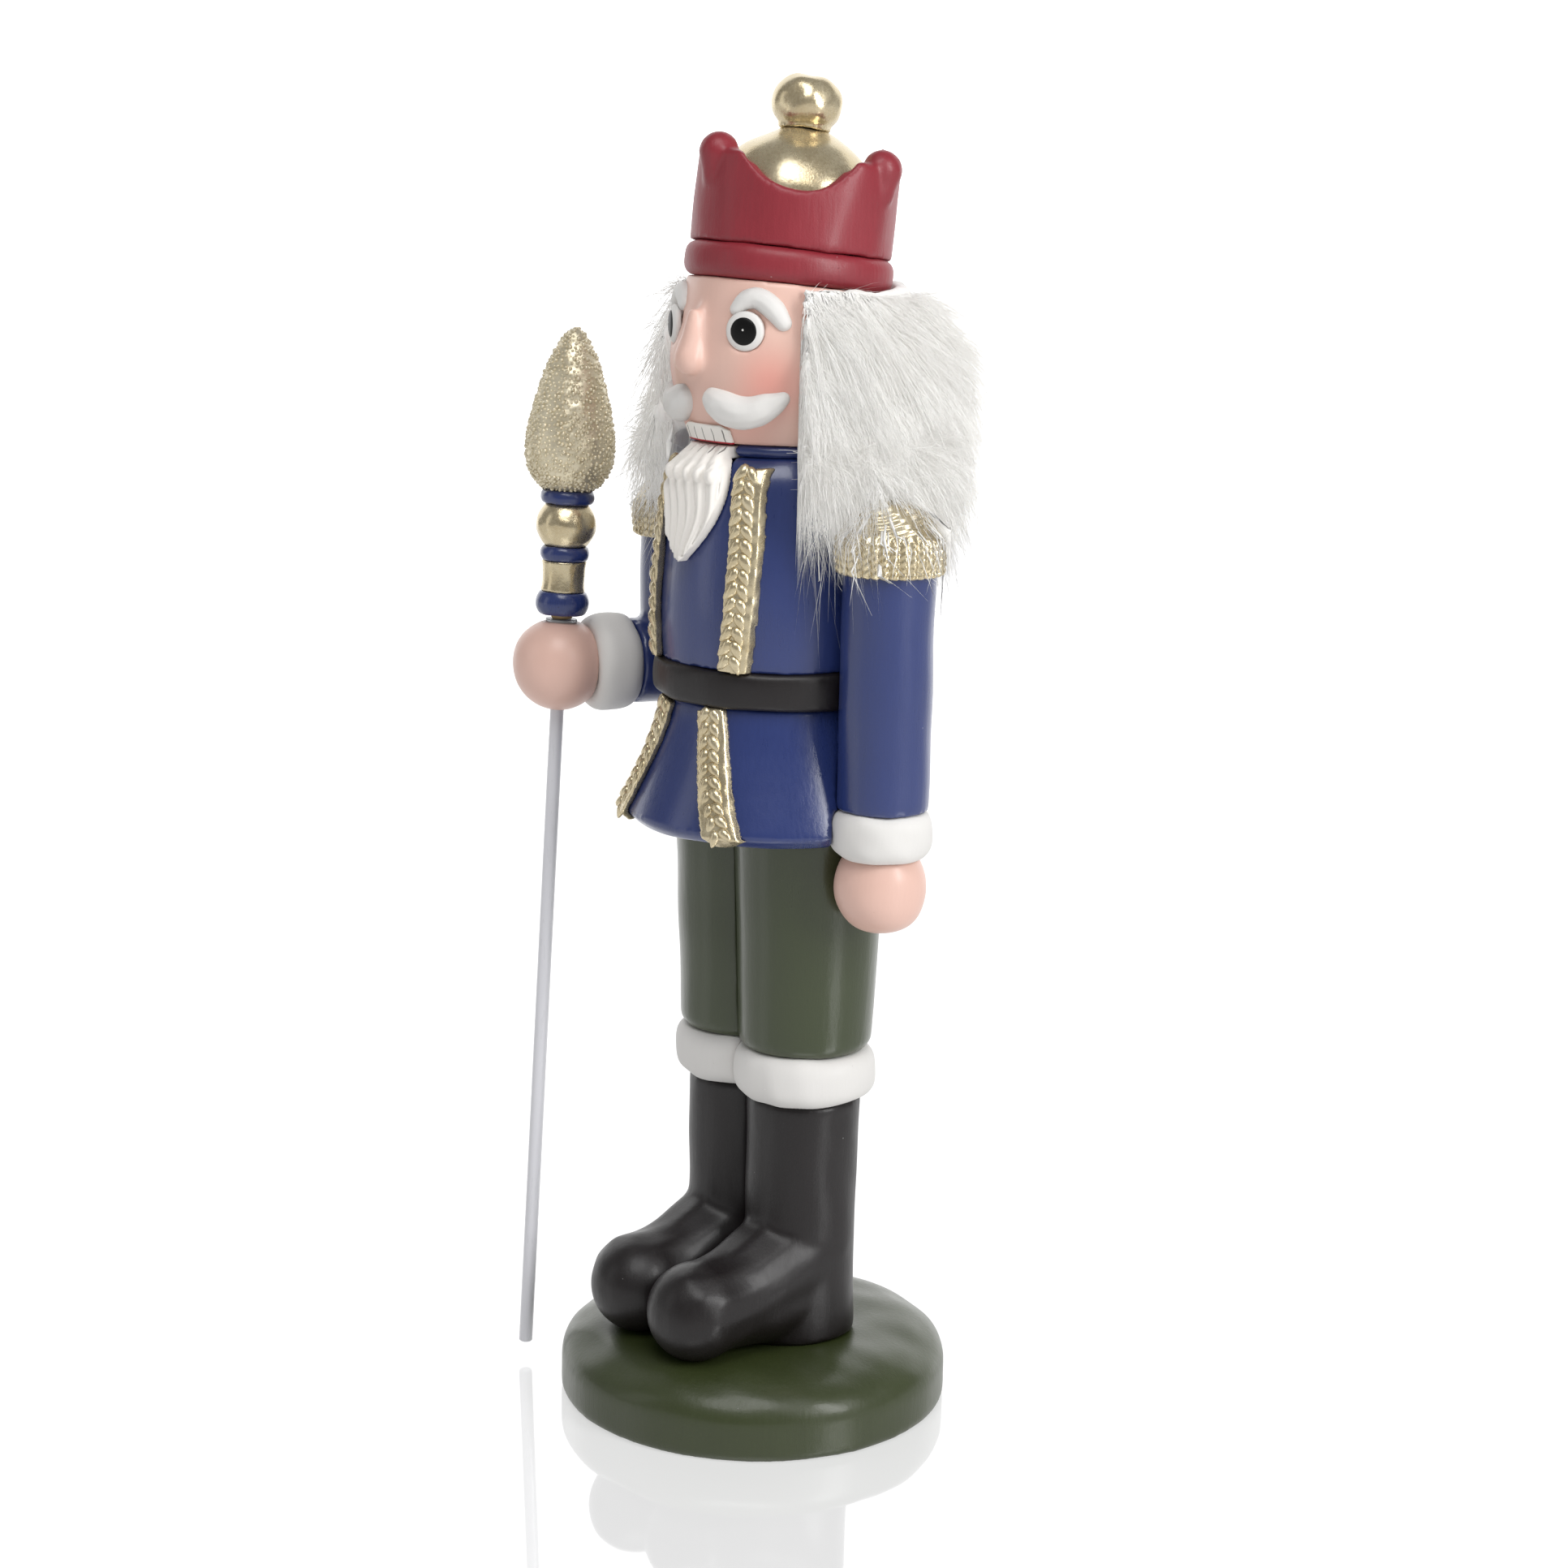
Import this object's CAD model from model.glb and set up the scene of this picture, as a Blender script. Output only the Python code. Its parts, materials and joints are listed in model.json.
import json
import math

import bmesh
import bpy
import numpy as np
from mathutils import Matrix, Vector
from mathutils.bvhtree import BVHTree


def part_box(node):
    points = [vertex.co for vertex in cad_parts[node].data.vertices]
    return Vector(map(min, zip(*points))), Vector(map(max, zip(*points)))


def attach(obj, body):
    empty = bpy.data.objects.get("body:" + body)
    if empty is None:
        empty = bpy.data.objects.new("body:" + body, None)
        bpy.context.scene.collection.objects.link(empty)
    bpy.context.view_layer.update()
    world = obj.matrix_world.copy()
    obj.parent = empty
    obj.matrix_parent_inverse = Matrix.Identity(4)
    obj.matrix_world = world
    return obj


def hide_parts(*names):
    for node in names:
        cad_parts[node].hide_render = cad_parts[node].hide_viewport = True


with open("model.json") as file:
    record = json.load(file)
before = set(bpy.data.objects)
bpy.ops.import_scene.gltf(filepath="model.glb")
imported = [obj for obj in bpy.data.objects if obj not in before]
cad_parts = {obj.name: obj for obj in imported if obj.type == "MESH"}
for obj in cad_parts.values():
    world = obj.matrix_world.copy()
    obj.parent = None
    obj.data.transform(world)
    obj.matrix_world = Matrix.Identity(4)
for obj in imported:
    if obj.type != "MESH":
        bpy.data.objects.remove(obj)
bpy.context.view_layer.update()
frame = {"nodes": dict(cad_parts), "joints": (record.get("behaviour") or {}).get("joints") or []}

MM = 0.001
NODES = frame["nodes"]
SIDES = (("left", 1), ("right", -1))


# ------------------------------------------------------------------ node graphs
class Wire:
    """An output socket of a node graph, with arithmetic that adds Math nodes."""

    def __init__(self, graph, socket):
        self.graph = graph
        self.socket = socket

    def _math(self, operation, *values):
        return self.graph.node("ShaderNodeMath", {"operation": operation}, dict(enumerate(values)))

    def __add__(self, other):
        return self._math("ADD", self, other)

    def __sub__(self, other):
        return self._math("SUBTRACT", self, other)

    def __rsub__(self, other):
        return self._math("SUBTRACT", other, self)

    def __mul__(self, other):
        return self._math("MULTIPLY", self, other)

    __radd__ = __add__
    __rmul__ = __mul__

    def below(self, edge, soft):
        """1 under an edge value, 0 above it, with a soft step between."""
        return self.graph.node("ShaderNodeMapRange", {"interpolation_type": "SMOOTHSTEP"},
                               {0: self, 1: edge - soft, 2: edge + soft, 3: 1.0, 4: 0.0})


class Graph:
    """Shader or geometry node tree, filled through one generic node method."""

    def __init__(self, tree):
        self.tree = tree

    def node(self, kind, settings=None, values=None, out=0):
        made = self.tree.nodes.new(kind)
        for name, value in (settings or {}).items():
            setattr(made, name, value)
        for key, value in (values or {}).items():
            socket = made.inputs[key]
            if isinstance(value, Wire):
                self.tree.links.new(value.socket, socket)
            else:
                socket.default_value = value
        return Wire(self, made.outputs[out])

    def output(self, wire, other):
        """Another output of the node that a wire comes from."""
        return Wire(self, wire.socket.node.outputs[other])

    def vector(self, operation, *values):
        made = self.tree.nodes.new("ShaderNodeVectorMath")
        made.operation = operation
        for index, value in enumerate(values):
            socket = made.inputs["Scale"] if operation == "SCALE" and index == 1 else made.inputs[index]
            if isinstance(value, Wire):
                self.tree.links.new(value.socket, socket)
            else:
                socket.default_value = value
        out = "Value" if operation in ("LENGTH", "DISTANCE", "DOT_PRODUCT") else "Vector"
        return Wire(self, made.outputs[out])

    def xyz(self, vector):
        x = self.node("ShaderNodeSeparateXYZ", {}, {0: vector})
        return x, self.output(x, 1), self.output(x, 2)


class Finish(Graph):
    """A material with a Principled shader, whose patterns read Object coordinates."""

    def __init__(self, name):
        self.material = bpy.data.materials.new(name)
        self.material.use_nodes = True
        super().__init__(self.material.node_tree)
        self.shader = self.tree.nodes["Principled BSDF"]
        self.place = self.node("ShaderNodeTexCoord", {}, {}, "Object")

    def set(self, **values):
        for name, value in values.items():
            socket = self.shader.inputs[name.replace("_", " ")]
            if isinstance(value, Wire):
                self.tree.links.new(value.socket, socket)
            else:
                socket.default_value = value
        return self

    def mix(self, factor, first, second):
        return self.node("ShaderNodeMix", {"data_type": "RGBA"}, {0: factor, 6: first, 7: second}, 2)

    def noise(self, size, detail=2.0, stretch=(1, 1, 1)):
        """Noise from 0 to 1 with features of about a size in metres."""
        scaled = self.vector("MULTIPLY", self.place, tuple(s / size for s in stretch))
        return self.node("ShaderNodeTexNoise", {}, {"Vector": scaled, "Scale": 1.0, "Detail": detail})

    def specks(self, spacing, radius):
        """Sparse round marks: 1 inside each."""
        moved = self.vector("SCALE", self.place, 1 / spacing)
        cell = self.node("ShaderNodeTexVoronoi", {}, {"Vector": moved, "Scale": 1.0})
        chance = self.xyz(self.output(cell, "Color"))[0]
        return cell.below(radius / spacing, 0.15 * radius / spacing) * chance.below(0.4, 0.02)

    def bump(self, height, distance):
        """Raises the surface by height (0 to 1) times a distance in metres."""
        made = self.node("ShaderNodeBump", {}, {"Height": height, "Distance": distance, "Strength": 1.0})
        return self.set(Normal=made)


def tint(code):
    """Linear colour from an sRGB hex code."""
    parts = [int(code[i:i + 2], 16) / 255 for i in (0, 2, 4)]
    return tuple(p / 12.92 if p <= 0.04045 else ((p + 0.055) / 1.055) ** 2.4 for p in parts) + (1.0,)


def brushed_paint(name, colour, roughness, coat=0.0, contrast=0.14, specks=0.5, stroke=0.05):
    """Hand-brushed paint: uneven colour, fine strokes, dust specks and pinholes."""
    finish = Finish(name)
    light = tuple(min(1.0, v * (1 + contrast)) for v in colour[:3]) + (1.0,)
    dark = tuple(v * (1 - contrast) for v in colour[:3]) + (1.0,)
    cloud = finish.noise(22 * MM, 3.0)
    strokes = finish.noise(1.1 * MM, 2.0, (1, 1, 0.14))
    body = finish.mix(cloud * 0.6 + strokes * 0.4, dark, light)
    dust = finish.specks(9 * MM, 0.22 * MM)
    pinholes = finish.specks(6.5 * MM, 0.16 * MM)
    pale = tuple(min(1.0, v + 0.35) for v in colour[:3]) + (1.0,)
    body = finish.mix(dust * specks, body, pale)
    body = finish.mix(pinholes * specks, body, tuple(v * 0.45 for v in colour[:3]) + (1.0,))
    finish.set(Base_Color=body, Roughness=roughness + (cloud - 0.5) * 0.16 + (strokes - 0.5) * 0.1)
    finish.set(Coat_Weight=coat, Coat_Roughness=0.18)
    grain = finish.noise(0.5 * MM, 1.0)
    finish.bump(strokes * 0.55 + grain * 0.25 + cloud * 0.6 - pinholes * 1.2 + dust * 0.8, stroke * MM)
    return finish


def gold_leaf(name, bright, deep, roughness=0.3, stroke=0.09):
    """Pale gold metallic paint, darker and rougher where it pools."""
    finish = Finish(name)
    cloud = finish.noise(9 * MM, 3.0)
    fleck = finish.noise(0.7 * MM, 2.0)
    finish.set(Base_Color=finish.mix(cloud * 0.65 + fleck * 0.35, deep, bright))
    finish.set(Metallic=0.82, Roughness=roughness + (cloud - 0.5) * 0.2 + (fleck - 0.5) * 0.14)
    finish.bump(cloud * 1.4 + fleck * 0.4, stroke * MM)
    return finish


# ------------------------------------------------------------------ mesh helpers
def as_object(name, mesh):
    made = bpy.data.objects.new(name, mesh)
    bpy.context.scene.collection.objects.link(made)
    return made


def from_bmesh(name, bm):
    """A new object with a bmesh's faces; the bmesh goes."""
    mesh = bpy.data.meshes.new(name)
    bm.to_mesh(mesh)
    bm.free()
    return as_object(name, mesh)


def smooth(subject):
    subject.data.polygons.foreach_set("use_smooth", [True] * len(subject.data.polygons))
    return subject


def plain_mesh(subject):
    """The evaluated mesh of an object, on a new object; the old one goes."""
    graph = bpy.context.evaluated_depsgraph_get()
    mesh = bpy.data.meshes.new_from_object(subject.evaluated_get(graph), depsgraph=graph)
    name = subject.name
    bpy.data.objects.remove(subject)
    made = as_object(name, mesh)
    made.name = name
    return made


def cad_copy(bm, *nodes):
    """Adds the merged meshes of CAD nodes to a bmesh."""
    for node in nodes:
        source = NODES[node].data
        part = bmesh.new()
        part.from_mesh(source)
        bmesh.ops.remove_doubles(part, verts=part.verts, dist=1e-6)
        clean = bpy.data.meshes.new("copy")
        part.to_mesh(clean)
        part.free()
        bm.from_mesh(clean)
        bpy.data.meshes.remove(clean)


def ball(bm, centre, radius, scale=(1, 1, 1), detail=3):
    """Adds a rounded lump to a bmesh, centre and radius in metres."""
    place = Matrix.Translation(centre) @ Matrix.Diagonal((*scale, 1))
    bmesh.ops.create_icosphere(bm, subdivisions=detail, radius=radius, matrix=place)


def chain(bm, stations, steps=10):
    """Adds a fat worm of balls along (x, y, z, radius) stations in metres."""
    points = np.array(stations)
    count = len(points)
    padded = np.vstack([2 * points[0] - points[1], points, 2 * points[-1] - points[-2]])
    for span in range(count - 1):
        a, b, c, d = padded[span:span + 4]
        for step in range(steps + (span == count - 2)):
            t = step / steps
            p = 0.5 * ((2 * b) + (c - a) * t + (2 * a - 5 * b + 4 * c - d) * t * t
                       + (3 * b - a - 3 * c + d) * t ** 3)
            ball(bm, p[:3], p[3], detail=2)


def ring_of(bm, place, radius, height, around):
    """A circle of vertices at a height along the Z axis of a placed frame."""
    turns = [2 * math.pi * k / around for k in range(around)]
    return [bm.verts.new(place @ Vector((radius * math.cos(t), radius * math.sin(t), height)))
            for t in turns]


def modelled(name, bm, voxel, rounds, factor=0.5):
    """One closed, softened skin round everything in a bmesh, as cast and sanded pieces have."""
    raw = from_bmesh(name, bm)
    skin = raw.modifiers.new("skin", "REMESH")
    skin.mode = "VOXEL"
    skin.voxel_size = voxel * MM
    soften = raw.modifiers.new("soften", "SMOOTH")
    soften.factor = factor
    soften.iterations = rounds
    return smooth(plain_mesh(raw))


def points_of(subject):
    flat = np.empty(len(subject.data.vertices) * 3)
    subject.data.vertices.foreach_get("co", flat)
    return flat.reshape(-1, 3)


def normals_of(subject):
    flat = np.empty(len(subject.data.vertices) * 3)
    subject.data.vertices.foreach_get("normal", flat)
    return flat.reshape(-1, 3)


def set_points(subject, points):
    subject.data.vertices.foreach_set("co", points.ravel())
    subject.data.update()


def waves(points, size, seed):
    """Smooth wandering value from about -1 to 1, with lumps of a size in metres."""
    draw = np.random.default_rng(seed)
    total = np.zeros(len(points))
    for _ in range(9):
        direction = draw.normal(size=3)
        direction /= np.linalg.norm(direction)
        rate = 2 * math.pi / (size * draw.uniform(0.7, 1.6))
        total += np.sin(points @ direction * rate + draw.uniform(0, 6.28))
    return total / 4.0


def wobble(subject, amount, size, seed, where=None):
    """Uneven hand-made surface: moves points along their normals by up to an amount in mm."""
    points = points_of(subject)
    push = waves(points, size * MM, seed) * amount * MM
    if where is not None:
        push = push * where(points)
    set_points(subject, points + normals_of(subject) * push[:, None])


def piece(subject, finish, body="figure", replaces=()):
    subject.data.materials.clear()
    subject.data.materials.append(finish.material)
    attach(subject, body)
    if replaces:
        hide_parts(*replaces)
    return subject


def cast(name, finish, nodes, voxel=0.8, rounds=5, lumps=(0.12, 14), body="figure", extra=None):
    """A CAD piece remade as a softened casting with a slightly uneven surface."""
    bm = bmesh.new()
    cad_copy(bm, *nodes)
    if extra:
        extra(bm)
    made = modelled(name, bm, voxel, rounds)
    wobble(made, lumps[0], lumps[1], sum(map(ord, name)))
    return piece(made, finish, body, nodes)


def surface_of(*nodes):
    """Ray-testable surface of CAD nodes."""
    bm = bmesh.new()
    cad_copy(bm, *nodes)
    tree = BVHTree.FromBMesh(bm)
    bm.free()
    return tree


# ------------------------------------------------------------------ places taken from the frame
def middle(node, axis):
    low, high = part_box(node)
    return (low[axis] + high[axis]) / 2


AXIS_Y = middle("head", 1)
HEAD_RADIUS = (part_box("head")[1][0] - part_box("head")[0][0]) / 2
CHIN_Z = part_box("head")[0][2]
ARM_X = middle("arm_left", 0)
ARM_Y = middle("arm_left", 1)
SLEEVE_RADIUS = (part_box("arm_left")[1][0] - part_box("arm_left")[0][0]) / 2
SHOULDER_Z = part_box("arm_left")[1][2]
HEM_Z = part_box("coat_skirt")[0][2]
BELT_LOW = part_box("belt")[0][2]
BELT_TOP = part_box("belt")[1][2]
THROAT_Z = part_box("torso")[1][2]
HEAD_SURFACE = surface_of("head")
COAT_SURFACE = surface_of("torso", "braid_upper_left", "braid_upper_right")
SKIRT_SURFACE = surface_of("coat_skirt", "braid_lower_left", "braid_lower_right")


def on_head(angle, height, proud=0.0):
    """Point at an angle round the head from the nose and a height in mm above the chin."""
    turn = math.radians(angle)
    outward = Vector((math.sin(turn), -math.cos(turn), 0))
    start = Vector((0, AXIS_Y, CHIN_Z + height * MM)) + outward * 0.2
    hit = HEAD_SURFACE.ray_cast(start, -outward)[0]
    return hit + outward * proud * MM


def on_front(surface, x, z, proud=0.0):
    """Point on a front-facing surface at x and z, in metres."""
    hit = surface.ray_cast(Vector((x, -0.3, z)), Vector((0, 1, 0)))[0]
    outward = Vector((hit.x, hit.y - AXIS_Y, 0)).normalized()
    return hit + outward * proud * MM


# ------------------------------------------------------------------ finishes
navy = brushed_paint("navy_gloss_paint", tint("25346a"), 0.3, coat=0.5, stroke=0.09)
olive = brushed_paint("olive_gloss_paint", tint("323b1e"), 0.32, coat=0.4, stroke=0.09)
moss = brushed_paint("moss_satin_paint", tint("333b1d"), 0.4, coat=0.2, contrast=0.2, stroke=0.09)
boot_black = brushed_paint("boot_satin_paint", tint("120c0d"), 0.44, coat=0.06, stroke=0.08)
crimson = brushed_paint("crimson_satin_paint", tint("86242f"), 0.46, coat=0.08, contrast=0.2, stroke=0.13)
white = brushed_paint("white_matt_paint", tint("dcdad7"), 0.6, contrast=0.04, specks=0.25)
gold = gold_leaf("pale_gold_paint", tint("efe6cb"), tint("ad9564"), roughness=0.27)
glitter = gold_leaf("gold_granule_paint", tint("fbf4e0"), tint("b9aa84"), roughness=0.42, stroke=0.2)
wood = brushed_paint("bare_beech", tint("c9a878"), 0.6, contrast=0.2)
rod_enamel = brushed_paint("pale_rod_enamel", tint("d8d8dd"), 0.3, coat=0.3, contrast=0.05)
pupil_black = brushed_paint("pupil_gloss_paint", tint("040404"), 0.4, coat=0.0, contrast=0.0, specks=0.0)
pupil_black.set(Specular_IOR_Level=0.25)


def skin_finish():
    """Pale flesh paint with soft pink on the cheeks, nose tip and chin."""
    finish = brushed_paint("flesh_satin_paint", tint("deb8aa"), 0.42, coat=0.15, contrast=0.04, specks=0.2)
    base = finish.shader.inputs["Base Color"].links[0].from_socket
    colour = Wire(finish, base)
    for side in (1, -1):
        for angle, height, radius, strength in ((43, 17, 12.0, 0.75), (30, 6, 11.0, 0.35)):
            centre = on_head(side * angle, height)
            away = finish.vector("DISTANCE", finish.place, tuple(centre))
            blush = away.below(radius * 0.6 * MM, radius * 0.6 * MM) * strength
            colour = finish.mix(blush, colour, tint("dd9083"))
    return finish.set(Base_Color=colour)


skin = skin_finish()


def teeth_finish():
    """White paint with thin dark strokes between the teeth and a red lip line."""
    finish = brushed_paint("toothed_paint", tint("f0ece6"), 0.5, contrast=0.03, specks=0.0)
    colour = Wire(finish, finish.shader.inputs["Base Color"].links[0].from_socket)
    x, _, z = finish.xyz(finish.place)
    wander = finish.noise(4 * MM, 1.0) - 0.5
    column = finish.node("ShaderNodeMath", {"operation": "PINGPONG"},
                         {0: x + wander * (1.2 * MM), 1: 1.9 * MM})
    tick = column.below(0.16 * MM, 0.1 * MM)
    low_end = 1 - z.below(CHIN_Z - 2.6 * MM, 0.4 * MM)
    high_end = z.below(CHIN_Z + 3.9 * MM, 0.4 * MM)
    colour = finish.mix(tick * low_end * high_end * 0.85, colour, tint("2a1f1e"))
    lip = (1 - z.below(CHIN_Z - 0.55 * MM, 0.12 * MM)) * z.below(CHIN_Z + 0.5 * MM, 0.12 * MM)
    colour = finish.mix(lip, colour, tint("b01c2c"))
    return finish.set(Base_Color=colour)


teeth_paint = teeth_finish()


def fur_finish():
    """White long-pile fur: strand by strand change of tone and a soft sheen."""
    finish = Finish("white_fur")
    strand = finish.noise(0.9 * MM, 2.0, (1, 1, 0.08))
    broad = finish.noise(16 * MM, 2.0)
    tone = finish.mix(strand * 0.6 + broad * 0.4, tint("cfccc6"), tint("fbfbfa"))
    finish.set(Base_Color=tone, Roughness=0.5, Sheen_Weight=0.3, Sheen_Roughness=0.4)
    finish.set(Emission_Color=tone, Emission_Strength=0.2)
    return finish


fur = fur_finish()
undercoat = fur_finish()
undercoat.material.name = "white_undercoat"
lock_lines = undercoat.noise(1.4 * MM, 3.0, (1, 1, 0.1))
undercoat.set(Emission_Strength=0.08)
undercoat.bump(lock_lines, 0.4 * MM)

washer_clear = Finish("clear_washer_plastic")
washer_cloud = washer_clear.noise(2 * MM)
washer_clear.set(Base_Color=washer_clear.mix(washer_cloud, tint("d8dde0"), tint("f2f4f5")),
                 Roughness=0.25, Transmission_Weight=0.6, IOR=1.45)


# ------------------------------------------------------------------ base and legs
def make_base():
    made = cast("base_block", moss, ("base",), voxel=1.0, rounds=6, lumps=(0.0, 20))
    top_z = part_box("base")[1][2]

    def upper(points):
        return np.clip((points[:, 2] - (top_z - 12 * MM)) / (10 * MM), 0.15, 1.0)

    wobble(made, 0.55, 26, 5, upper)
    wobble(made, 0.16, 9, 6, upper)


def make_boots():
    for side, sign in SIDES:
        def foot(bm, side=side, sign=sign):
            low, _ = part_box(f"boot_{side}")
            inner = sign * 14.2 * MM
            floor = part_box("base")[1][2]
            toe_y = low[1] + 14.6 * MM
            walk = [(0.0, 13.2, 14.5), (8.0, 13.6, 14.4), (16.0, 15.6, 14.6), (24.0, 18.6, 15.4),
                    (32.0, 22.0, 16.0), (37.0, 26.0, 16.2)]
            chain(bm, [(inner, toe_y + run * MM, floor + rise * MM, girth * MM)
                       for run, rise, girth in walk])

        cast(f"boot_leather_{side}", boot_black, (f"boot_{side}",), voxel=0.9, rounds=22,
             lumps=(0.22, 18), extra=foot)
        cast(f"boot_trim_{side}", white, (f"boot_cuff_{side}",), voxel=0.7, rounds=8,
             lumps=(0.3, 12))
        cast(f"trouser_{side}", olive, (f"trouser_leg_{side}",), voxel=1.0, rounds=5,
             lumps=(0.2, 24))


# ------------------------------------------------------------------ coat
def make_coat():
    cast("coat_lower", navy, ("coat_skirt",), voxel=0.9, rounds=5, lumps=(0.2, 26))
    cast("coat_upper", navy, ("torso",), voxel=0.7, rounds=4, lumps=(0.12, 24))
    cast("coat_collar", navy, ("collar",), voxel=0.7, rounds=4, lumps=(0.08, 10))
    cast("belt_band", boot_black, ("belt",), voxel=0.8, rounds=5, lumps=(0.22, 16))
    for side, _ in SIDES:
        cast(f"sleeve_{side}", navy, (f"arm_{side}",), voxel=0.8, rounds=6, lumps=(0.2, 22))
        cast(f"wrist_trim_{side}", white, (f"wrist_cuff_{side}",), voxel=0.6, rounds=9,
             lumps=(0.28, 10))
        cast(f"palm_{side}", skin, (f"hand_{side}",), voxel=0.6, rounds=8, lumps=(0.3, 15))


def make_epaulettes():
    """Shoulder caps with a fringe of upright cords below a knotted crown."""
    for side, sign in SIDES:
        bm = bmesh.new()
        cad_copy(bm, f"epaulette_{side}")
        made = modelled(f"shoulder_cap_{side}", bm, 0.55, 4)
        points = points_of(made)
        around = np.arctan2(points[:, 1] - ARM_Y, points[:, 0] - sign * ARM_X)
        height = (SHOULDER_Z - points[:, 2]) / MM
        fringe = np.abs(np.sin(around * 17)) * np.clip((height - 6.5) / 2.0, 0, 1)
        knots = np.sin(around * 9 + height * 1.4) * np.sin(height * 2.1)
        knots = knots * np.clip((8.0 - height) / 3.0, 0, 1)
        twist = 0.25 * np.sin(height * 3.2 + around * 34) * np.clip((height - 7.0) / 2.0, 0, 1)
        push = (fringe * 1.0 + knots * 0.5 + twist) * MM - 0.5 * MM
        set_points(made, points + normals_of(made) * push[:, None])
        piece(made, gold, "figure", (f"epaulette_{side}",))


# ------------------------------------------------------------------ geometry node trees
def open_tree(name, sizes, seed, objects=()):
    """A Geometry Nodes graph and its inputs by name: sizes, a seed and perhaps objects."""
    tree = bpy.data.node_groups.new(name, "GeometryNodeTree")
    face = tree.interface
    face.new_socket("Geometry", in_out="INPUT", socket_type="NodeSocketGeometry")
    for label in objects:
        face.new_socket(label, in_out="INPUT", socket_type="NodeSocketObject")
    for label, value in sizes:
        face.new_socket(label, in_out="INPUT", socket_type="NodeSocketFloat").default_value = value
    face.new_socket("Seed", in_out="INPUT", socket_type="NodeSocketInt").default_value = seed
    face.new_socket("Geometry", in_out="OUTPUT", socket_type="NodeSocketGeometry")
    graph = Graph(tree)
    given = graph.node("NodeGroupInput")
    inputs = {item.name: graph.output(given, item.identifier) for item in face.items_tree
              if item.in_out == "INPUT"}
    return graph, inputs


def close_tree(graph, result, finish):
    """Ends a graph in Realize Instances and Set Material, and returns its tree."""
    real = graph.node("GeometryNodeRealizeInstances", {}, {0: result})
    shaded = graph.node("GeometryNodeSetMaterial", {}, {"Geometry": real, "Material": finish.material})
    end = graph.tree.nodes.new("NodeGroupOutput")
    graph.tree.links.new(shaded.socket, end.inputs[0])
    return graph.tree


# ------------------------------------------------------------------ braids
def rope_tree(finish):
    """Paired leaf-shaped lobes down a line on the coat, like a plaited cord."""
    sizes = (("Pitch", 4.0 * MM), ("Spread", 1.8 * MM), ("Splay", 0.6), ("Jitter", 0.12))
    g, inputs = open_tree("plaited_rope", sizes, 3, ("Lobe",))
    beads = g.node("GeometryNodeCurveToPoints", {"mode": "LENGTH"},
                   {"Curve": inputs["Geometry"], "Length": inputs["Pitch"]})
    tangent = g.output(beads, "Tangent")
    place = g.node("GeometryNodeInputPosition")
    x, y, _ = g.xyz(place)
    outward = g.node("ShaderNodeCombineXYZ", {}, {0: x, 1: y - AXIS_Y, 2: 0.0})
    outward = g.vector("NORMALIZE", outward)
    across = g.vector("CROSS_PRODUCT", outward, tangent)
    facing = g.node("FunctionNodeAxesToRotation", {"primary_axis": "Z", "secondary_axis": "X"},
                    {0: tangent, 1: outward})
    lobe = g.node("GeometryNodeObjectInfo", {}, {"Object": inputs["Lobe"]}, "Geometry")
    joined = g.node("GeometryNodeJoinGeometry")
    for side in (1, -1):
        shift = g.vector("SCALE", across, inputs["Spread"] * side)
        moved = g.node("GeometryNodeSetPosition", {}, {"Geometry": beads, "Offset": shift})
        lean = g.node("ShaderNodeCombineXYZ", {}, {0: inputs["Splay"] * side, 1: 0.0, 2: 0.0})
        lean = g.node("FunctionNodeEulerToRotation", {}, {0: lean})
        turned = g.node("FunctionNodeRotateRotation", {"rotation_space": "LOCAL"}, {0: facing, 1: lean})
        size = g.node("FunctionNodeRandomValue", {"data_type": "FLOAT"},
                      {2: 1 - inputs["Jitter"], 3: 1 + inputs["Jitter"], "Seed": inputs["Seed"] + side}, 1)
        copies = g.node("GeometryNodeInstanceOnPoints", {},
                        {"Points": moved, "Instance": lobe, "Rotation": turned, "Scale": size})
        g.tree.links.new(copies.socket, joined.socket.node.inputs[0])
    return close_tree(g, joined, finish)


def run_tree(subject, tree, **values):
    """Puts a Geometry Nodes tree on an object, sets its named inputs and returns the plain result."""
    modifier = subject.modifiers.new("build", "NODES")
    modifier.node_group = tree
    names = {item.name: item.identifier for item in tree.interface.items_tree if item.in_out == "INPUT"}
    for name, value in values.items():
        modifier[names[name.replace("_", " ")]] = value
    return smooth(plain_mesh(subject))


def leaf_lobe(length, width, depth):
    """Low, pointed lobe along Z whose flat back faces -X."""
    bm = bmesh.new()
    bmesh.ops.create_uvsphere(bm, u_segments=8, v_segments=6, radius=1.0)
    for vert in bm.verts:
        along = vert.co.z
        fat = 1.0 - 0.35 * along
        vert.co = Vector((vert.co.x * depth * fat, vert.co.y * width * fat + 0.25 * width * along ** 2,
                          along * length))
    return from_bmesh("lobe", bm)


def guide_curve(name, points):
    data = bpy.data.curves.new(name, "CURVE")
    data.dimensions = "3D"
    spline = data.splines.new("POLY")
    spline.points.add(len(points) - 1)
    for point, place in zip(spline.points, points):
        point.co = (*place, 1.0)
    return as_object(name, data)


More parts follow.
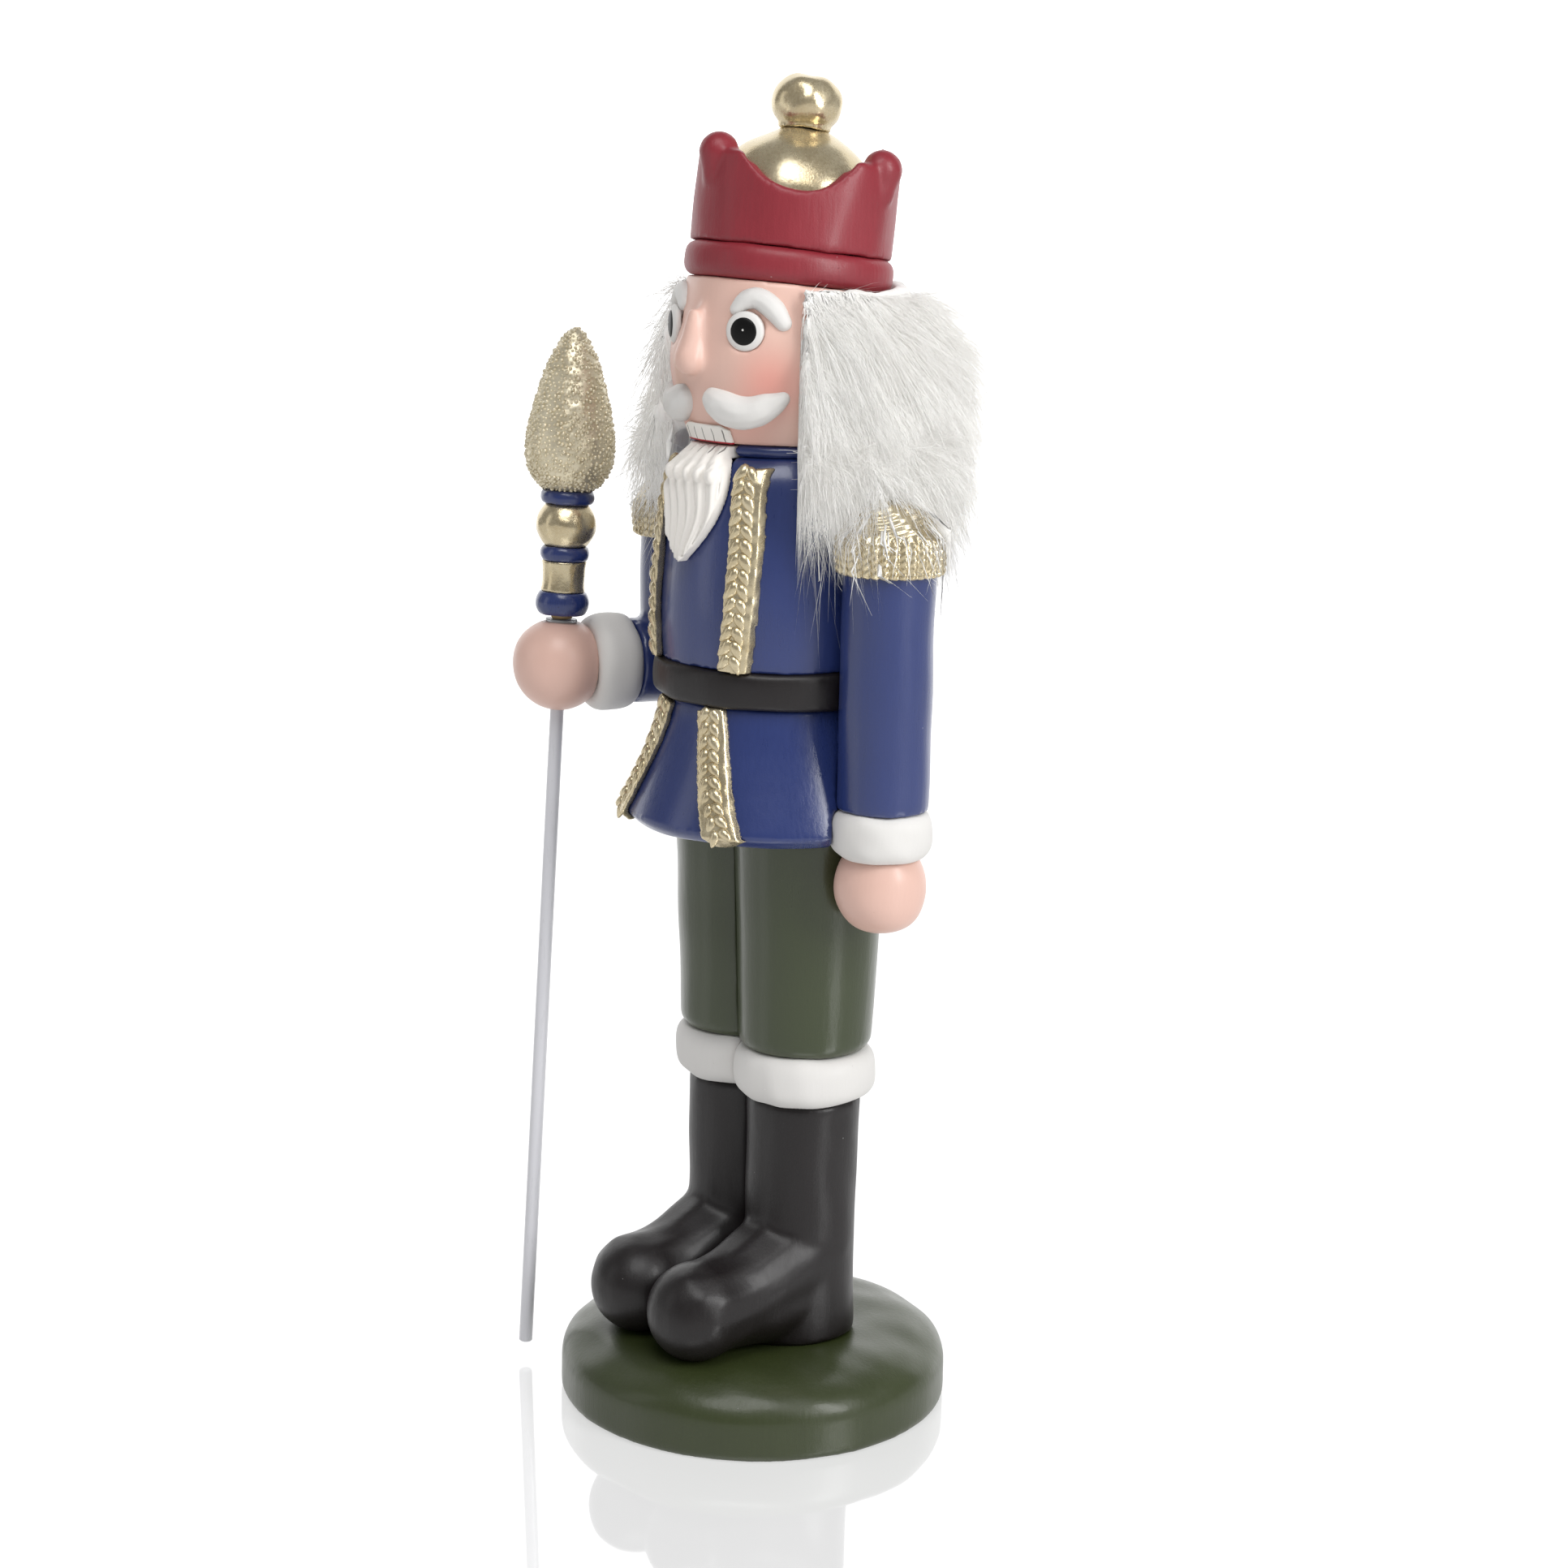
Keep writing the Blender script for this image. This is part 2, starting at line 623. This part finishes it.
def make_braids():
    tree = rope_tree(gold)
    lobe = leaf_lobe(3.0 * MM, 1.7 * MM, 1.35 * MM)
    small = leaf_lobe(2.75 * MM, 1.6 * MM, 1.3 * MM)
    for side, sign in SIDES:
        chest_z = (THROAT_Z + BELT_TOP) / 2
        skirt_z = (BELT_LOW + HEM_Z) / 2
        routes = (
            ("upper", COAT_SURFACE, [(16.6, THROAT_Z - 4.0 * MM), (18.3, chest_z + 8 * MM),
                                     (18.6, chest_z - 8 * MM), (17.2, BELT_TOP + 2.6 * MM)],
             lobe, 3.9, 1.75),
            ("lower", SKIRT_SURFACE, [(10.6, BELT_LOW - 2.4 * MM), (14.2, skirt_z + 2 * MM),
                                      (23.0, HEM_Z + 3.6 * MM)],
             small, 3.5, 1.8),
        )
        for part, surface, stations, shape, pitch, spread in routes:
            line = []
            heights = [z for _, z in stations][::-1]
            offsets = [x for x, _ in stations][::-1]
            fit = np.polyfit(heights, offsets, 2)
            for z in np.linspace(heights[-1], heights[0], 26):
                line.append(on_front(surface, sign * float(np.polyval(fit, z)) * MM, float(z), -0.5))
            rope = guide_curve(f"rope_{part}_{side}", line)
            rope = run_tree(rope, tree, Lobe=shape, Pitch=pitch * MM, Spread=spread * MM,
                            Splay=0.55, Jitter=0.1, Seed=7)
            piece(rope, gold, "figure")
            cast(f"rope_bed_{part}_{side}", gold, (f"braid_{part}_{side}",), voxel=0.45,
                 rounds=5, lumps=(0.15, 5))
    bpy.data.objects.remove(lobe)
    bpy.data.objects.remove(small)


# ------------------------------------------------------------------ face
def make_head():
    def features(bm):
        ridge = [(36.8, -1.0, 1.7), (32, -0.3, 2.9), (27, 0.6, 4.1), (22.8, 1.5, 4.8)]
        chain(bm, [(*on_head(0, height, proud), girth * MM) for height, proud, girth in ridge])
        for side in (1, -1):
            ball(bm, on_head(side * EYE_ANGLE, EYE_HEIGHT, -5.0), 6.0 * MM)

    cast("face", skin, ("head", "nose"), voxel=0.7, rounds=9, lumps=(0.1, 16),
         extra=features)


def make_moustache_and_brows():
    for side, sign in SIDES:
        bm = bmesh.new()
        worm = [(11.5, 12.2, 3.6), (17, 10.6, 4.9), (25, 9.4, 5.1), (34, 9.6, 4.7), (42.5, 11.3, 3.7),
                (49.5, 13.4, 2.1)]
        chain(bm, [(*on_head(sign * a, h, -0.4), r * MM) for a, h, r in worm])
        made = modelled(f"moustache_half_{side}", bm, 0.4, 7)
        wobble(made, 0.12, 6, 11)
        piece(made, white, "figure", (f"moustache_{side}",))

        bm = bmesh.new()
        worm = [(23.0, 36.6, 2.0), (28, 39.0, 2.8), (35, 39.6, 3.1), (43, 37.2, 3.2), (49.0, 33.4, 2.4)]
        chain(bm, [(*on_head(sign * a, h, -0.4), r * MM) for a, h, r in worm])
        made = modelled(f"brow_{side}", bm, 0.35, 6)
        piece(made, white, "figure", (f"eyebrow_{side}",))


EYE_ANGLE = 29.6
EYE_HEIGHT = 31
DISC_DEPTH = 1.2 * MM


def dome_disc(name, centre, outward, radius, rise, rings=10, around=48):
    """Closed, slightly domed disc that faces outward."""
    bm = bmesh.new()
    turn = outward.to_track_quat("Z", "Y").to_matrix().to_4x4()
    place = Matrix.Translation(centre) @ turn
    loops = []
    for ring in range(rings):
        t = (ring + 1) / rings
        lift = rise * math.sqrt(max(0.0, 1 - (t * 0.985) ** 2))
        loops.append(ring_of(bm, place, radius * t, lift, around))
    loops.append(ring_of(bm, place, radius, -DISC_DEPTH, around))
    top = bm.verts.new(place @ Vector((0, 0, rise)))
    foot = bm.verts.new(place @ Vector((0, 0, -DISC_DEPTH)))
    for k in range(around):
        after = (k + 1) % around
        bm.faces.new((top, loops[0][k], loops[0][after]))
        bm.faces.new((foot, loops[-1][after], loops[-1][k]))
        for inner, outer in zip(loops, loops[1:]):
            bm.faces.new((inner[k], outer[k], outer[after], inner[after]))
    return smooth(from_bmesh(name, bm))


def make_eyes():
    for side, sign in SIDES:
        turn = math.radians(EYE_ANGLE * sign)
        outward = Vector((math.sin(turn), -math.cos(turn), 0.0))
        centre = Vector((0, AXIS_Y, CHIN_Z + EYE_HEIGHT * MM)) + outward * (HEAD_RADIUS - 0.7 * MM)
        disc = dome_disc(f"eye_white_{side}", centre, outward, 5.3 * MM, 1.3 * MM)
        piece(disc, white, "figure", (f"eye_{side}",))
        pupil = dome_disc(f"pupil_{side}", centre + outward * 0.75 * MM, outward, 3.8 * MM, 0.85 * MM)
        piece(pupil, pupil_black, "figure")
        glint_place = centre + outward * 1.5 * MM + Vector((0, 0, 0.4 * MM))
        glint = dome_disc(f"eye_glint_{side}", glint_place, outward, 0.36 * MM, 0.15 * MM, 4, 20)
        piece(glint, white, "figure")
    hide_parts("pupils")


def make_mouth():
    cast("teeth_upper", teeth_paint, ("upper_teeth",), voxel=0.3, rounds=5, lumps=(0.05, 3))


def make_beard():
    """Lower lip and pointed beard in one, carved with wavy locks that run together at its tip."""
    bm = bmesh.new()
    cad_copy(bm, "beard", "lower_teeth")
    low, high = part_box("beard")
    for x in (-6.5, -3.2, 0, 3.2, 6.5):
        back = 0.02 * x * x
        chain(bm, [(x * MM, (back - 24.2) * MM, high[2] + 1.8 * MM, 1.5 * MM),
                   (x * 1.1 * MM, (back - 26.8) * MM, high[2] - 0.8 * MM, 1.9 * MM),
                   (x * 1.25 * MM, (back - 29.4) * MM, high[2] - 4.4 * MM, 2.4 * MM)], 6)
    made = modelled("carved_beard", bm, 0.35, 7)
    points = points_of(made)
    down = np.clip((high[2] - points[:, 2]) / (high[2] - low[2]), 0, 1)
    width = 12.0 * MM * np.sqrt(np.clip(1.03 - down, 0.03, 1.0)) + 0.8 * MM
    lane = points[:, 0] / width + 0.22 * np.sin(down * 6.5 + 0.6) * (1 - 0.6 * down)
    carve = np.abs(np.sin(lane * math.pi * 2.6)) ** 0.55
    fine = np.abs(np.sin(lane * math.pi * 5.2 + 0.7 + down * 2.0))
    front = np.clip((-normals_of(made)[:, 1] - 0.05) * 3, 0, 1) * np.clip(down * 9, 0, 1)
    push = ((carve - 0.72) * 1.35 + (fine - 0.6) * 0.4) * MM * front
    set_points(made, points + normals_of(made) * push[:, None])
    piece(made, teeth_paint, "jaw", ("beard", "lower_teeth"))


# ------------------------------------------------------------------ hat
HAT_TILT = math.radians(-6.5)
HAT_TURN = -10
CROWN_DIP = 22.0
DIP_RADIUS = 17.5
CROWN_SWEEP = 31
HAT_PLACE = Matrix.Translation((0, AXIS_Y, CHIN_Z + 41.8 * MM)) @ Matrix.Rotation(HAT_TILT, 4, "X")


def in_hat(angle, radius, height):
    """Point in the tilted hat: angle from its front, radius and height in mm."""
    turn = math.radians(angle)
    return HAT_PLACE @ Vector((math.sin(turn) * radius * MM, -math.cos(turn) * radius * MM, height * MM))


def make_hat():
    def rolled_edge(bm):
        for knob in (HAT_TURN, HAT_TURN + 120, HAT_TURN + 240):
            stations = []
            for step in range(15):
                across = -CROWN_SWEEP + 2 * CROWN_SWEEP * step / 14
                chord = 27.0 * math.sin(math.radians(across))
                height = CROWN_DIP + DIP_RADIUS - math.sqrt(max(0.0, DIP_RADIUS ** 2 - chord ** 2))
                stations.append((*in_hat(knob + 60 + across, 25.4, height), 2.7 * MM))
            chain(bm, stations, 4)
            chain(bm, [(*in_hat(knob, 25.0, 27.0), 4.6 * MM), (*in_hat(knob, 25.4, 30.5), 5.0 * MM),
                       (*in_hat(knob, 25.8, 33.4), 5.7 * MM)], 4)

    cast("hat_band", crimson, ("hat_brim",), voxel=0.8, rounds=7, lumps=(0.2, 18))
    cast("hat_wall", crimson, ("hat_crown",), voxel=0.8, rounds=9, lumps=(0.35, 15),
         extra=rolled_edge)
    cast("hat_top", gold, ("hat_dome",), voxel=0.8, rounds=8, lumps=(0.3, 12))
    cast("hat_ball", gold, ("hat_finial",), voxel=0.5, rounds=7, lumps=(0.35, 8))


# ------------------------------------------------------------------ staff
def granule_tree(finish):
    """Small round granules scattered over a surface."""
    sizes = (("Spacing", 0.9 * MM), ("Smallest", 0.25 * MM), ("Largest", 0.7 * MM))
    g, inputs = open_tree("granules", sizes, 1)
    spots = g.node("GeometryNodeDistributePointsOnFaces", {"distribute_method": "POISSON"},
                   {"Mesh": inputs["Geometry"], "Distance Min": inputs["Spacing"], "Density Max": 2.5e6,
                    "Seed": inputs["Seed"]})
    grain = g.node("GeometryNodeMeshIcoSphere", {}, {"Radius": 1.0, "Subdivisions": 1})
    size = g.node("FunctionNodeRandomValue", {"data_type": "FLOAT"},
                  {2: inputs["Smallest"], 3: inputs["Largest"], "Seed": inputs["Seed"]}, 1)
    copies = g.node("GeometryNodeInstanceOnPoints", {},
                    {"Points": spots, "Instance": grain, "Rotation": g.output(spots, "Rotation"),
                     "Scale": size})
    return close_tree(g, copies, finish)


ROD_RADIUS = 2.0 * MM


def make_staff():
    flame = cast("flame_core", glitter, ("staff_flame",), voxel=0.5, rounds=12,
                 lumps=(0.15, 3), body="staff")
    copy = as_object("flame_granules", flame.data.copy())
    grains = run_tree(copy, granule_tree(glitter), Spacing=1.05 * MM, Smallest=0.3 * MM,
                      Largest=0.8 * MM, Seed=4)
    piece(grains, glitter, "staff")
    for node, finish, slot in (
            ("staff_ring_lower", navy, "coat_paint"), ("staff_ring_middle", navy, "coat_paint"),
            ("staff_ring_upper", navy, "coat_paint"), ("staff_ball", gold, "gold_paint"),
            ("staff_barrel", gold, "gold_paint"), ("staff_neck", wood, "bare_wood")):
        cast(node + "_bead", finish, (node,), voxel=0.4, rounds=5, lumps=(0.08, 4), body="staff")
    line, start, length = staff_line()
    rod = turned_bar("painted_rod", start, line, length, ROD_RADIUS)
    piece(rod, rod_enamel, "staff", ("staff_rod",))
    cast("clear_washer", washer_clear, ("staff_washer",), voxel=0.18, rounds=2,
         lumps=(0.0, 2), body="washer")


def staff_line():
    """The staff's direction, its lower end and its rod's length."""
    axis = next(joint for joint in frame["joints"] if joint["name"] == "staff_spin")
    line = Vector(axis["axis"]).normalized()
    passing = Vector(axis["pos_m"])
    low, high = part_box("staff_rod")
    tip_drop = math.sqrt(1 - line.z ** 2) * ROD_RADIUS
    start = passing + line * ((low[2] + tip_drop - passing.z) / line.z)
    length = (high[2] - low[2] - 2 * tip_drop) / line.z
    return line, start, length


def turned_bar(name, start, line, length, radius, around=32):
    """Round bar with small eased ends."""
    bm = bmesh.new()
    ease = 0.35 * MM
    place = Matrix.Translation(start) @ line.to_track_quat("Z", "Y").to_matrix().to_4x4()
    profile = [(radius - ease, 0.0), (radius, ease)]
    profile += [(radius, length * k / 12) for k in range(1, 12)]
    profile += [(radius, length - ease), (radius - ease, length)]
    loops = [ring_of(bm, place, r, z, around) for r, z in profile]
    for lower, upper in zip(loops, loops[1:]):
        for k in range(around):
            after = (k + 1) % around
            bm.faces.new((lower[k], lower[after], upper[after], upper[k]))
    bm.faces.new(loops[0][::-1])
    bm.faces.new(loops[-1])
    bar = from_bmesh(name, bm)
    bar.data.polygons.foreach_set("use_smooth", [len(p.vertices) == 4 for p in bar.data.polygons])
    return bar


# ------------------------------------------------------------------ hair
STRAND_POINTS = 4


def fur_tree(finish):
    """Tapered strands that lie down a surface and fall under their weight."""
    sizes = (("Density", 1.0e6), ("Length", 24 * MM), ("Thickness", 0.12 * MM), ("Lift", 0.3),
             ("Droop", 3 * MM), ("Unruly", 0.4), ("Frizz", 0.15), ("Sweep", 0.4))
    g, inputs = open_tree("long_pile", sizes, 1)
    roots = g.node("GeometryNodeDistributePointsOnFaces", {"distribute_method": "RANDOM"},
                   {"Mesh": inputs["Geometry"], "Density": inputs["Density"], "Seed": inputs["Seed"]})
    normal = g.output(roots, "Normal")
    place = g.node("GeometryNodeInputPosition")
    scaled = g.vector("SCALE", place, 1 / (13 * MM))
    swirl = g.node("ShaderNodeTexNoise", {}, {"Vector": scaled, "Scale": 1.0, "Detail": 2.0}, "Color")
    swirl = g.vector("SUBTRACT", swirl, (0.5, 0.5, 0.5))
    stray = g.node("FunctionNodeRandomValue", {"data_type": "FLOAT_VECTOR"},
                   {0: (-1, -1, -1), 1: (1, 1, 1), "Seed": inputs["Seed"] + 5})
    fall = g.node("ShaderNodeCombineXYZ", {}, {0: 0.0, 1: inputs["Sweep"], 2: -1.0})
    across = g.vector("SCALE", normal, g.vector("DOT_PRODUCT", fall, normal))
    flow = g.vector("SUBTRACT", fall, across)
    flow = g.vector("ADD", flow, g.vector("SCALE", normal, inputs["Lift"]))
    flow = g.vector("ADD", flow, g.vector("SCALE", swirl, inputs["Unruly"] * 2))
    flow = g.vector("ADD", flow, g.vector("SCALE", stray, inputs["Frizz"]))
    facing = g.node("FunctionNodeAlignRotationToVector", {"axis": "Z"}, {"Vector": flow})
    one = g.node("GeometryNodeCurvePrimitiveLine", {}, {"Start": (0, 0, 0), "End": (0, 0, 1)})
    one = g.node("GeometryNodeResampleCurve", {}, {"Curve": one, "Count": STRAND_POINTS})
    size = g.node("FunctionNodeRandomValue", {"data_type": "FLOAT"},
                  {2: inputs["Length"] * 0.55, 3: inputs["Length"] * 1.15, "Seed": inputs["Seed"] + 2}, 1)
    tuft = g.node("ShaderNodeTexNoise", {},
                  {"Vector": g.vector("SCALE", place, 1 / (8 * MM)), "Scale": 1.0, "Detail": 0.0})
    size = size * (tuft * 1.5 + 0.25)
    strands = g.node("GeometryNodeInstanceOnPoints", {},
                     {"Points": roots, "Instance": one, "Rotation": facing, "Scale": size})
    strands = g.node("GeometryNodeRealizeInstances", {}, {0: strands})
    along = g.node("GeometryNodeSplineParameter")
    bend = g.node("ShaderNodeTexNoise", {},
                  {"Vector": g.vector("SCALE", place, 1 / (7 * MM)), "Scale": 1.0, "Detail": 1.0}, "Color")
    bend = g.vector("SUBTRACT", bend, (0.5, 0.5, 0.5))
    bend = g.vector("SCALE", bend, along * inputs["Unruly"] * (9 * MM))
    fall = g.node("ShaderNodeCombineXYZ", {}, {0: 0.0, 1: 0.0, 2: along * along * inputs["Droop"] * -1})
    strands = g.node("GeometryNodeSetPosition", {},
                     {"Geometry": strands, "Offset": g.vector("ADD", bend, fall)})
    taper = inputs["Thickness"] * (1.02 - along * along)
    section = g.node("GeometryNodeCurvePrimitiveCircle", {}, {"Resolution": 3, "Radius": 1.0})
    tubes = g.node("GeometryNodeCurveToMesh", {},
                   {"Curve": strands, "Profile Curve": section, "Scale": taper, "Fill Caps": True})
    return close_tree(g, tubes, finish)


MIDDLE = np.array([0, AXIS_Y])
FACE_OPENING = math.radians(57)
PAD_FOOT = CHIN_Z - 8 * MM
HANDLE_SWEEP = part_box("hair_back")[0][2] + 2 * MM
HANDLE_HALF_WIDTH = 9 * MM
HANDLE_FRONT = 20 * MM
EPAULETTE_PROUD = 3.2 * MM
EPAULETTE_ROUNDING = 9 * MM
COAT_REACH = 34.6 * MM

# length in mm, lift, unruliness, number of strands, thickness in mm
HAIR_LAYERS = (
    (25.0, 0.3, 0.4, 8200, 0.12),
    (21.0, 1.0, 0.95, 7800, 0.09),
    (40.0, 0.3, 0.6, 1600, 0.07),
)

# outline of the cut fur, in mm: height above the chin, reach beside the face and reach behind
HAIR_HEIGHTS = [-42, -20, -5, 14, 26, 34, 40]
HAIR_FRONT = [45, 44, 43, 39.5, 36.5, 34, 32]
HAIR_BACK = [48, 50, 52, 54, 51.5, 46, 39]


def from_axis(points, axis):
    """Each point's offset and distance from an upright axis, seen from above."""
    flat = points[:, :2] - axis
    return flat, np.linalg.norm(flat, axis=1)


def trim_reach(points):
    """Draws long fur in to the outline that it was cut to, narrow beside the face and full behind."""
    flat, reach = from_axis(points, MIDDLE)
    angle = np.abs(np.arctan2(flat[:, 0], -flat[:, 1]))
    height = (points[:, 2] - CHIN_Z) / MM
    turn = np.clip((angle - math.radians(60)) / math.radians(75), 0, 1)
    turn = turn * turn * (3 - 2 * turn)
    front = np.interp(height, HAIR_HEIGHTS, HAIR_FRONT)
    edge = (front + (np.interp(height, HAIR_HEIGHTS, HAIR_BACK) - front) * turn) * MM
    edge = edge + (waves(points, 10 * MM, 40) * 1.6 + waves(points, 5 * MM, 41) * 1.1) * MM
    over = np.clip(reach - edge, 0, 1)
    drawn = edge + 9.0 * MM * np.tanh(over * 0.75 / (9.0 * MM))
    scale = np.where(over > 0, drawn / reach, 1.0)
    points[:, :2] = MIDDLE + flat * scale[:, None]


def comb(points):
    """Keeps fur out of the face, the coat, the sleeves and the hat's band."""
    points = points.copy()
    trim_reach(points)
    for sign in (1, -1):
        arm = np.array([sign * ARM_X, ARM_Y])
        flat, reach = from_axis(points, arm)
        lid = SHOULDER_Z + EPAULETTE_PROUD
        need = SLEEVE_RADIUS + EPAULETTE_PROUD
        beside = (points[:, 2] < lid - EPAULETTE_ROUNDING) & (reach < need)
        points[beside, :2] = arm + flat[beside] / reach[beside, None] * need
        crown = np.array([sign * ARM_X, ARM_Y, lid - need])
        over = points - crown
        far = np.linalg.norm(over, axis=1)
        above = (points[:, 2] >= lid - EPAULETTE_ROUNDING) & (far < need)
        points[above] = crown + over[above] / far[above, None] * need
    flat, reach = from_axis(points, MIDDLE)
    need = np.where(points[:, 2] < THROAT_Z, COAT_REACH, HEAD_RADIUS + 0.8 * MM)
    near = reach < need
    points[near, :2] = MIDDLE + flat[near] / reach[near, None] * need[near, None]
    flat, reach = from_axis(points, MIDDLE)
    angle = np.arctan2(flat[:, 0], -flat[:, 1])
    seat = CHIN_Z + 41.0 * MM + (points[:, 1] - AXIS_Y) * math.tan(HAT_TILT)
    points[:, 2] = np.minimum(points[:, 2], seat + np.clip(reach - HEAD_RADIUS, 0, 1) * 0.35)
    handle = (np.abs(points[:, 0]) < HANDLE_HALF_WIDTH) & (points[:, 1] > HANDLE_FRONT)
    points[handle, 2] = np.maximum(points[handle, 2], HANDLE_SWEEP)
    inside = np.abs(angle) < FACE_OPENING
    turned = np.sign(angle) * (FACE_OPENING + (FACE_OPENING - np.abs(angle)) * 0.15)
    points[inside, 0] = reach[inside] * np.sin(turned[inside])
    points[inside, 1] = AXIS_Y - reach[inside] * np.cos(turned[inside])
    return points


def make_hair():
    tree = fur_tree(fur)
    for part, seed in (("left", 11), ("right", 12), ("back", 13)):
        bm = bmesh.new()
        cad_copy(bm, f"hair_{part}")
        pad = modelled(f"hair_pad_{part}", bm, 1.2, 10)
        points = points_of(pad) - normals_of(pad) * 1.6 * MM
        flat, reach = from_axis(points, MIDDLE)
        core = HEAD_RADIUS + 1 * MM
        slim = np.where(reach > core, (core + (reach - core) * 0.5) / reach, 1.0)
        points[:, :2] = MIDDLE + flat * slim[:, None]
        low, turn_z = points[:, 2].min(), CHIN_Z + 4 * MM
        rise = np.clip((turn_z - points[:, 2]) / (turn_z - low), 0, 1)
        points[:, 2] += rise * (PAD_FOOT - low)
        set_points(pad, points)
        wobble(pad, 1.2, 12, seed)
        piece(pad, undercoat, "figure", (f"hair_{part}",))
        area = sum(polygon.area for polygon in pad.data.polygons)
        for layer, (length, lift, unruly, count, thick) in enumerate(HAIR_LAYERS):
            copy = as_object(f"hair_{part}_{layer}", pad.data.copy())
            strands = run_tree(copy, tree, Density=count / area, Length=length * MM, Lift=lift,
                               Unruly=unruly, Frizz=0.16, Droop=5 * MM, Thickness=thick * MM,
                               Seed=seed * 10 + layer)
            set_points(strands, comb(points_of(strands)))
            piece(strands, fur, "figure")


# ------------------------------------------------------------------ inner pieces
def refinish(node, finish):
    """A new material on a CAD node that keeps its shape."""
    NODES[node].data.materials.clear()
    NODES[node].data.materials.append(finish.material)


def finish_inner():
    for node in ("leg_dowels", "waist_dowel", "neck_dowel", "shoulder_dowels", "wrist_dowels", "hat_dowel"):
        refinish(node, wood)
    steel = gold_leaf("drawn_steel", tint("c8c9cc"), tint("8f9094"), roughness=0.25, stroke=0.02)
    refinish("jaw_pivot_pin", steel)
    bar = cast("lever_bar", navy, ("jaw_lever",), voxel=0.5, rounds=3, lumps=(0.0, 12),
               body="jaw")
    set_points(bar, points_of(bar) - normals_of(bar) * 0.3 * MM)


# ------------------------------------------------------------------ stage
FLOOR_GLOW = 0.58
ROOM_GLOW = 0.24
CAMERA_TURN = 50


def flat_panel(name, corners, finish):
    mesh = bpy.data.meshes.new(name)
    mesh.from_pydata(corners, [], [(0, 1, 2, 3)])
    panel = as_object(name, mesh)
    panel.data.materials.append(finish.material)


def make_stage():
    """Glossy pale floor that meets a white backdrop, in a dim room."""
    reach = 6.0
    ground = Finish("pale_floor")
    ground.set(Base_Color=tint("8c8c8c"), Roughness=0.04, IOR=2.5, Emission_Color=tint("ffffff"),
               Emission_Strength=FLOOR_GLOW)
    corners = [(-reach, -reach, 0), (reach, -reach, 0), (reach, reach, 0), (-reach, reach, 0)]
    flat_panel("floor", corners, ground)
    screen = Finish("white_backdrop")
    screen.set(Base_Color=tint("ffffff"), Roughness=0.9, Emission_Color=tint("ffffff"),
               Emission_Strength=1.0)
    turn = math.radians(CAMERA_TURN)
    centre = Vector((-math.sin(turn), math.cos(turn), 0)) * 3.2
    across = Vector((math.cos(turn), math.sin(turn), 0)) * 5.0
    up = Vector((0, 0, 4.0))
    corners = [centre - across, centre + across, centre + across + up, centre - across + up]
    flat_panel("backdrop", corners, screen)
    world = bpy.data.worlds.new("studio")
    world.use_nodes = True
    world.node_tree.nodes["Background"].inputs["Color"].default_value = (1, 1, 1, 1)
    world.node_tree.nodes["Background"].inputs["Strength"].default_value = ROOM_GLOW
    bpy.context.scene.world = world


def soft_light(name, azimuth, elevation, distance, width, height, power):
    """Soft box that looks at the figure's middle."""
    light = bpy.data.lights.new(name, "AREA")
    light.shape = "RECTANGLE"
    light.size = width
    light.size_y = height
    light.energy = power
    made = as_object(name, light)
    turn, rise = math.radians(azimuth), math.radians(elevation)
    target = Vector((0, 0, 0.2))
    away = Vector((math.sin(turn) * math.cos(rise), -math.cos(turn) * math.cos(rise), math.sin(rise)))
    made.location = target + away * distance
    made.rotation_euler = away.to_track_quat("Z", "Y").to_euler()


def make_camera():
    """Long lens at about head height, turned 50 degrees to the figure's left."""
    turn, pitch, roll = math.radians(CAMERA_TURN), math.radians(12.4), math.radians(1.4)
    right = Vector((math.cos(turn), math.sin(turn), 0))
    forward = Vector((-math.sin(turn) * math.cos(pitch), math.cos(turn) * math.cos(pitch), -math.sin(pitch)))
    up = right.cross(forward)
    leaned_right = right * math.cos(roll) + up * math.sin(roll)
    leaned_up = up * math.cos(roll) - right * math.sin(roll)
    data = bpy.data.cameras.new("camera")
    data.lens = 69.9
    data.sensor_width = 36.0
    data.clip_start = 0.01
    camera = as_object("camera", data)
    basis = Matrix((leaned_right, leaned_up, -forward)).transposed().to_4x4()
    away = 0.850
    place = Vector((away * math.sin(turn) + 0.0032, -away * math.cos(turn) + 0.0038, 0.370))
    camera.matrix_world = Matrix.Translation(place) @ basis
    bpy.context.scene.camera = camera


make_base()
make_boots()
make_coat()
make_epaulettes()
make_braids()
make_head()
make_moustache_and_brows()
make_eyes()
make_mouth()
make_beard()
make_hat()
make_staff()
make_hair()
finish_inner()
make_stage()
soft_light("key", 100, 24, 1.1, 0.3, 0.8, 8.0)
soft_light("top", 45, 58, 1.1, 0.6, 0.6, 5.2)
soft_light("left_fill", -25, 16, 1.3, 0.4, 0.9, 1.0)
make_camera()
bpy.context.scene.view_settings.view_transform = "Standard"
